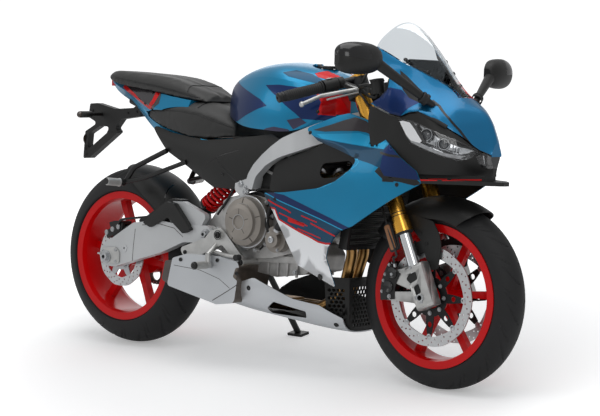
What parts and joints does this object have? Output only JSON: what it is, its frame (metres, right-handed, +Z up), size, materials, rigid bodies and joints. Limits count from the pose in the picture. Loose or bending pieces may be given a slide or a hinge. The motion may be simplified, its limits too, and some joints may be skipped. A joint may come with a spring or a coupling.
{
  "type": "sport motorcycle",
  "caption": "Faired sport motorcycle leaning on its side stand, with twin-beam frame, upside-down gold fork, red cast wheels and underslung silencer.",
  "frame": {"origin": "on the floor, under the middle of the box round the parked motorcycle", "axes": "+X forward along the wheelbase, +Y to the rider's left, +Z up; the motorcycle leans 10.5 degrees to its left, on its side stand"},
  "size_m": [1.985, 0.855, 1.1503],
  "materials": {
    "frame_silver": "satin",
    "frame_black": "satin",
    "engine_grey": "cast",
    "pipe_steel": "heat-tinted",
    "silver_cover": "satin",
    "black_metal": "satin",
    "bright_steel": "bright",
    "chain_steel": "oiled",
    "gold": "anodised",
    "chrome": "polished",
    "cast_silver": "cast",
    "red_paint": "gloss",
    "blue_plastic": "metallic gloss",
    "blue_metal": "metallic gloss",
    "dark_plastic": "grained",
    "seat_vinyl": "matt",
    "tyre": "matt",
    "clear_screen": "clear",
    "lamp_lens": "clear over bright reflectors",
    "red_lens": "gloss",
    "rubber": "matt"
  },
  "bodies": {
    "chassis": {"belly_guard": "dark_plastic", "belly_pan": "silver_cover", "chain": "chain_steel", "chin_spoiler": "dark_plastic", "engine_block": "engine_grey", "engine_covers": "engine_grey", "exhaust_pipes": "pipe_steel", "footrests": "cast_silver", "front_bracket": "frame_black", "fuel_tank": "blue_metal", "headlamps": "lamp_lens", "inner_panels": "dark_plastic", "instrument_panel": "dark_plastic", "main_frame": "frame_silver", "mirrors": "dark_plastic", "nose_fairing": "blue_plastic", "pillion_footrests": "black_metal", "pillion_seat": "seat_vinyl", "plate_bracket": "dark_plastic", "radiator": "black_metal", "rear_axle": "bright_steel", "rear_caliper": "black_metal", "rear_hugger": "dark_plastic", "rear_subframe": "frame_black", "rider_seat": "seat_vinyl", "shock_absorber": "black_metal", "shock_spring": "red_paint", "side_covers": "dark_plastic", "side_fairings": "blue_plastic", "silencer": "silver_cover", "stand_bracket": "black_metal", "swingarm": "silver_cover", "swingarm_pivot": "bright_steel", "tail_fairing": "blue_plastic", "tail_lamp": "red_lens", "windscreen": "clear_screen"},
    "steering": {"front_axle": "bright_steel", "fork_sliders": "chrome", "fork_tubes": "gold", "fork_feet": "cast_silver", "front_calipers": "black_metal", "lower_yoke": "black_metal", "top_yoke": "black_metal", "handlebars": "black_metal", "grips": "rubber", "bar_controls": "dark_plastic", "front_mudguard": "dark_plastic"},
    "front_wheel": {"front_rim": "red_paint", "front_tyre": "tyre", "front_discs": "bright_steel"},
    "rear_wheel": {"rear_rim": "red_paint", "rear_tyre": "tyre", "rear_disc": "bright_steel", "rear_sprocket": "chain_steel"},
    "side_stand": {"side_stand": "black_metal"},
    "fuel_cap": {"fuel_cap": "black_metal"}
  },
  "joints": [
    {"name": "steering_turn", "type": "hinge", "parent": "chassis", "child": "steering", "pos_m": [0.41708, -0.0422, 0.83687], "axis": [-0.408, 0.1664, 0.8977], "range_deg": [-27, 27]},
    {"name": "front_wheel_spin", "type": "hinge", "parent": "steering", "child": "front_wheel", "pos_m": [0.69251, -0.14243, 0.29598], "axis": [-0.0001, 0.9833, -0.1822], "continuous": true},
    {"name": "rear_wheel_spin", "type": "hinge", "parent": "chassis", "child": "rear_wheel", "pos_m": [-0.67749, -0.1397, 0.31123], "axis": [-0.0001, 0.9833, -0.1822], "continuous": true},
    {"name": "side_stand_fold", "type": "hinge", "parent": "chassis", "child": "side_stand", "pos_m": [-0.19749, -0.00521, 0.30139], "axis": [0.0652, 0.9181, 0.3909], "range_deg": [0, 84.3]},
    {"name": "fuel_cap_open", "type": "hinge", "parent": "chassis", "child": "fuel_cap", "pos_m": [0.14177, -0.01158, 1.00216], "axis": [0.0001, -0.9833, 0.1822], "range_deg": [0, 95]}
  ]
}
